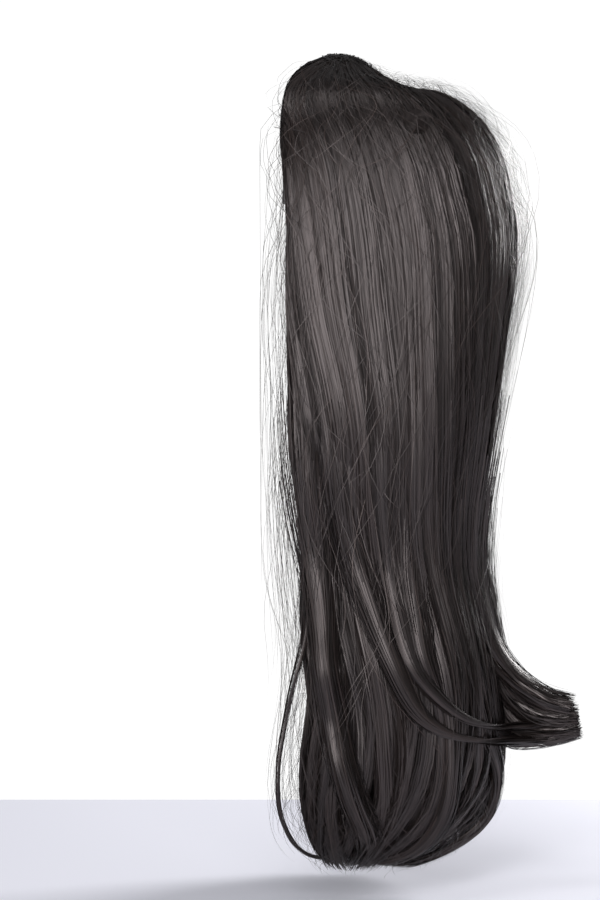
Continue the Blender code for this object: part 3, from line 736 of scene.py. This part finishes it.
# Free locks
# Locks that leave the falls, as the curling iron left them: the flip at the rear, the locks that
# feed it, the curls at the tips and the thin loops in front of and behind the falls.
FREE_LOCKS = (
    # strands, strand width, lock width and thickness, how far its face leans to the rear, then
    # the stops: share of the way round, level, metres out of the outline, metres ahead
    ("flip over", 300, 0.0008, 0.036, 0.015, 0.0, (
        (-0.23, 10.0, -0.008, 0.0), (-0.21, 12.4, -0.007, 0.0), (-0.19, 14.0, -0.004, 0.0),
        (-0.17, 15.0, 0.003, 0.0), (-0.15, 15.6, 0.017, 0.0), (-0.14, 15.95, 0.033, 0.0),
        (-0.13, 16.1, 0.050, 0.0))),
    ("flip middle", 320, 0.0008, 0.036, 0.018, 0.0, (
        (-0.12, 11.0, -0.009, 0.0), (-0.11, 13.2, -0.008, 0.0), (-0.10, 14.8, -0.003, 0.0),
        (-0.10, 15.7, 0.005, 0.0), (-0.10, 16.15, 0.020, 0.0), (-0.11, 16.3, 0.036, 0.0),
        (-0.11, 16.30, 0.053, 0.0))),
    ("flip under", 300, 0.0008, 0.034, 0.018, 0.0, (
        (-0.03, 12.0, -0.010, 0.0), (-0.04, 14.2, -0.009, 0.0), (-0.06, 15.6, -0.003, 0.0),
        (-0.08, 16.35, 0.006, 0.0), (-0.10, 16.56, 0.022, 0.0), (-0.11, 16.56, 0.038, 0.0),
        (-0.11, 16.46, 0.054, 0.0))),
    ("flip lowest", 200, 0.0008, 0.028, 0.010, 0.0, (
        (-0.26, 13.6, -0.010, 0.0), (-0.24, 15.4, -0.005, 0.0), (-0.20, 16.5, 0.000, 0.0),
        (-0.15, 16.78, 0.009, 0.0), (-0.12, 16.78, 0.024, 0.0), (-0.11, 16.70, 0.039, 0.0),
        (-0.11, 16.56, 0.053, 0.0))),
    ("upper feed", 210, 0.0007, 0.015, 0.0055, 0.0, (
        (-0.86, 10.6, -0.008, 0.0), (-0.80, 12.2, -0.001, 0.0), (-0.74, 13.5, 0.003, 0.0),
        (-0.69, 14.6, 0.004, 0.0), (-0.62, 15.7, 0.005, 0.0), (-0.54, 16.25, 0.006, 0.0),
        (-0.44, 16.5, 0.007, 0.0), (-0.33, 16.62, 0.008, 0.0), (-0.22, 16.70, 0.014, 0.0),
        (-0.14, 16.72, 0.031, 0.0), (-0.11, 16.60, 0.054, 0.0))),
    ("lower feed", 150, 0.0007, 0.013, 0.0055, 0.0, (
        (-0.67, 11.4, -0.009, 0.0), (-0.65, 13.2, -0.001, 0.0), (-0.62, 14.7, 0.003, 0.0),
        (-0.55, 15.5, 0.005, 0.0), (-0.44, 16.1, 0.006, 0.0), (-0.31, 16.35, 0.008, 0.0),
        (-0.20, 16.42, 0.014, 0.0), (-0.13, 16.45, 0.031, 0.0), (-0.11, 16.38, 0.053, 0.0))),
    ("side lock", 220, 0.0007, 0.021, 0.0055, 0.40, (
        (-0.97, 9.6, -0.008, 0.0), (-0.93, 12.0, -0.001, 0.0), (-0.90, 13.6, 0.003, 0.0),
        (-0.89, 14.8, 0.003, 0.0), (-0.86, 16.2, 0.002, 0.0), (-0.80, 17.6, 0.002, 0.0),
        (-0.74, 19.0, 0.001, 0.0), (-0.72, 20.6, -0.003, 0.0))),
    ("rear lock", 150, 0.0007, 0.014, 0.0055, 0.0, (
        (-0.55, 11.4, -0.009, 0.0), (-0.57, 13.2, -0.001, 0.0), (-0.57, 14.6, 0.003, 0.0),
        (-0.52, 15.8, 0.002, 0.0), (-0.50, 17.0, 0.002, 0.0), (-0.52, 18.2, 0.003, 0.0),
        (-0.58, 19.4, 0.002, 0.0), (-0.66, 20.6, -0.003, 0.0))),
    ("left curl", 190, 0.0008, 0.016, 0.008, 0.0, (
        (-0.50, 13.6, -0.008, 0.0), (-0.48, 15.2, -0.001, 0.0), (-0.47, 16.8, 0.003, 0.0),
        (-0.48, 18.2, 0.006, 0.0), (-0.52, 19.4, 0.006, 0.0), (-0.60, 20.3, 0.002, 0.0),
        (-0.72, 20.9, -0.006, 0.0))),
    ("right curl", 190, 0.0008, 0.016, 0.008, 0.0, (
        (0.50, 13.6, -0.008, 0.0), (0.48, 15.2, -0.001, 0.0), (0.47, 16.8, 0.003, 0.0),
        (0.48, 18.2, 0.006, 0.0), (0.52, 19.4, 0.006, 0.0), (0.60, 20.3, 0.002, 0.0),
        (0.72, 20.9, -0.006, 0.0))),
    ("rear curl", 190, 0.0008, 0.013, 0.008, 0.0, (
        (-0.36, 14.6, -0.006, 0.0), (-0.31, 16.4, 0.000, 0.0), (-0.20, 17.6, 0.002, 0.0),
        (-0.16, 18.6, 0.003, 0.0), (-0.18, 19.4, 0.004, 0.0), (-0.28, 20.4, 0.004, 0.0),
        (-0.52, 20.9, 0.002, 0.0))),
    ("front loop", 44, 0.00045, 0.0036, 0.0026, 0.0, (
        (-0.94, 13.0, -0.003, 0.001), (-0.95, 14.6, -0.001, 0.006),
        (-0.96, 16.0, 0.000, 0.0150), (-0.96, 17.3, 0.000, 0.0165),
        (-0.96, 18.6, 0.000, 0.0158), (-0.95, 19.7, 0.000, 0.0142),
        (-0.94, 20.5, -0.002, 0.0060), (-0.88, 20.6, -0.006, -0.0080))),
    ("rear loop", 40, 0.00045, 0.0034, 0.0026, 0.0, (
        (0.15, 11.6, -0.004, 0.0), (0.15, 12.6, 0.001, 0.0), (0.15, 13.2, 0.006, 0.0),
        (0.15, 13.7, 0.008, 0.0), (0.15, 14.1, 0.005, 0.0), (0.15, 14.7, -0.005, 0.0))),
)
FREE_STEPS = 32
FREE_TONES = (0.05, 0.75)
# A lock rides on the waves until it stands so many metres out.
LEAVES_WAVES_AT = 0.012
# Wisps in half its width, how far strands are drawn into them, and how far they wander, as
# shares of its half width and half thickness.
FREE_WISPS = 3.0
FREE_DRAWN = 0.6
WANDER_ACROSS = 0.14
WANDER_OUT = 0.16
# How widely its roots are spread, and how unevenly its strands begin and end.
ROOTS_WIDE = 2.2
ROOTS_WIDER_BY = 1.2
BEGINS_UNEVEN = 0.26
ENDS_UNEVEN = 0.08


def follow(strands, width, lock_width, lock_depth, lean, stops):
    """Strands along a lock that leaves the outline, through its stops."""
    stops = np.array(stops)
    where = np.linspace(0.0, len(stops) - 1.0, FREE_STEPS)
    share, level, stand, ahead = columns_at(stops, where)
    turn = turn_at(share, level)
    centre, across, out = hair_frame(level, turn)
    stand = stand + wave(level, turn) * smooth_step(1.6 - stand / LEAVES_WAVES_AT)
    centre = centre + out * stand[:, None] - np.array((1.0, 0.0, 0.0)) * ahead[:, None]
    tangent = unit(np.gradient(centre, axis=0))
    above = unit(np.cross(across, tangent))
    radius = np.sqrt(random.uniform(0.0, 1.0, (strands, 1)))
    angle = random.uniform(0.0, math.tau, (strands, 1))
    beside = radius * np.cos(angle)
    over = radius * np.sin(angle)
    along = np.linspace(0.0, 1.0, FREE_STEPS)[None, :]
    wisps = np.round(beside * FREE_WISPS) / FREE_WISPS
    beside = beside + (wisps - beside) * FREE_DRAWN * along
    beside = beside + wander(strands, FREE_STEPS, (1.0, 2.5), WANDER_ACROSS) * (0.3 + along)
    over = over + wander(strands, FREE_STEPS, (1.0, 2.5), WANDER_OUT) * (0.3 + along)
    opened = ROOTS_WIDE - ROOTS_WIDER_BY * smooth_step(along * 2.5)
    points = centre[None] + across[None] * (beside * opened * lock_width / 2.0)[..., None]
    points = points + above[None] * (over * opened * lock_depth / 2.0)[..., None]
    end = 1.0 - ENDS_UNEVEN * random.uniform(0.0, 1.0, (strands, 1)) ** 2
    begin = random.uniform(0.0, BEGINS_UNEVEN, (strands, 1))
    reach = (begin + (end - begin) * along) * (FREE_STEPS - 1)
    low = np.minimum(reach.astype(int), FREE_STEPS - 2)
    part = (reach - low)[..., None]
    row = np.arange(strands)[:, None]
    points = points[row, low] * (1.0 - part) + points[row, low + 1] * part
    aside = (beside * np.sign(over) - lean)[..., None]
    facing = unit(above[None] * np.maximum(np.abs(over), 0.3)[..., None] + across[None] * aside)
    widths = width * random.uniform(0.6, 1.3, (strands, 1)) * np.minimum(1.0, 0.3 + 9 * (1 - along))
    return points, facing, widths, random.uniform(*FREE_TONES, strands)


free_batches = [follow(*lock[1:]) for lock in FREE_LOCKS]
strand_piece("free_locks_hair", free_batches, hair_fibre)

# Stray hairs
# Single fibres that stand off the falls: a veil before the front edges, frizz on the crown and
# under the tips, and hairs lying across the locks.
STRAYS = (
    # hairs, shares of the way round, first and last levels, metres out, metres ahead, how far
    # they wander, width
    ("veil", 64, (-1.0, -0.93), (3.0, 9.0),
     (12.0, 20.5), (-0.003, 0.001), (0.0, 0.015), 0.0035, 0.00016),
    ("far veil", 44, (0.93, 1.0), (3.0, 9.0),
     (12.0, 20.5), (-0.003, 0.001), (0.0, 0.015), 0.0035, 0.00016),
    ("low wisps", 40, (-1.0, -0.90), (12.0, 14.5),
     (18.5, 20.8), (-0.003, 0.001), (0.002, 0.014), 0.0040, 0.00016),
    ("upper arcs", 130, (-0.98, 0.98), (1.5, 5.0),
     (6.0, 12.0), (0.0015, 0.004), (0.0, 0.0), 0.0130, 0.00026),
    ("across", 260, (-0.98, 0.98), (3.0, 12.0),
     (9.0, 20.0), (0.0015, 0.004), (0.0, 0.0), 0.0100, 0.00024),
    ("rear rim", 300, (-0.30, 0.30), (2.2, 8.0),
     (9.0, 18.0), (0.001, 0.007), (0.0, 0.0), 0.0035, 0.00018),
    ("tips", 260, (-1.0, 1.0), (16.5, 18.5),
     (20.0, 21.0), (0.000, 0.008), (0.0, 0.0), 0.0080, 0.00016),
    ("crown", 240, (-0.95, 0.95), (0.1, 2.5),
     (3.5, 7.5), (0.001, 0.003), (0.0, 0.0), 0.0110, 0.00022),
)
STRAY_STEPS = 22
SHORTEST_STRAY = 2.5
STRAY_DRIFT = 0.05
# Metres ahead of the solids that loose hair may reach, and how softly it is held there.
STRAY_REACH = 0.013
REACH_SOFTNESS = 0.002


def strays(count, shares, firsts, lasts, stands, aheads, loose, width):
    """Single hairs round the outline."""
    along = np.linspace(0.0, 1.0, STRAY_STEPS)[None, :]
    share = random.uniform(*shares, (count, 1))
    first = random.uniform(*firsts, (count, 1))
    last = np.maximum(random.uniform(*lasts, (count, 1)), first + SHORTEST_STRAY)
    loose = loose * np.minimum(1.0, (last - first) / 7.0)
    level = first + (last - first) * along
    share = share + wander(count, STRAY_STEPS, (0.5, 1.1), STRAY_DRIFT)
    limit = np.where(level < 5.0, 1.4, 1.0)
    inside = limit - np.logaddexp(0.0, (limit - np.abs(share)) / 0.02) * 0.02
    own = turn_at(np.sign(share) * inside, level)
    centre, across, out = hair_frame(level, own)
    lifted = smooth_step(along * 3.0)
    stand = random.uniform(*stands, (count, 1)) * lifted
    stand = stand + (1.0 + wander(count, STRAY_STEPS, (1.0, 2.0), 0.6)) * 0.5 * loose * lifted
    ahead = random.uniform(*aheads, (count, 1)) * lifted * (0.4 + along)
    sideways = wander(count, STRAY_STEPS, (0.5, 1.2), 1.0) * loose * lifted
    points = centre + out * stand[..., None] + across * sideways[..., None]
    foremost = cad_box[0][0] - STRAY_REACH
    room = points[..., 0] - ahead - foremost
    points[..., 0] = foremost + np.logaddexp(0.0, room / REACH_SOFTNESS) * REACH_SOFTNESS
    widths = width * random.uniform(0.7, 1.3, (count, 1)) * np.minimum(1.0, 0.3 + 9 * (1 - along))
    return points, out, widths, random.uniform(0.2, 0.9, count)


stray_batches = [strays(*kind[1:]) for kind in STRAYS]
strand_piece("stray_hairs", stray_batches, hair_fibre)
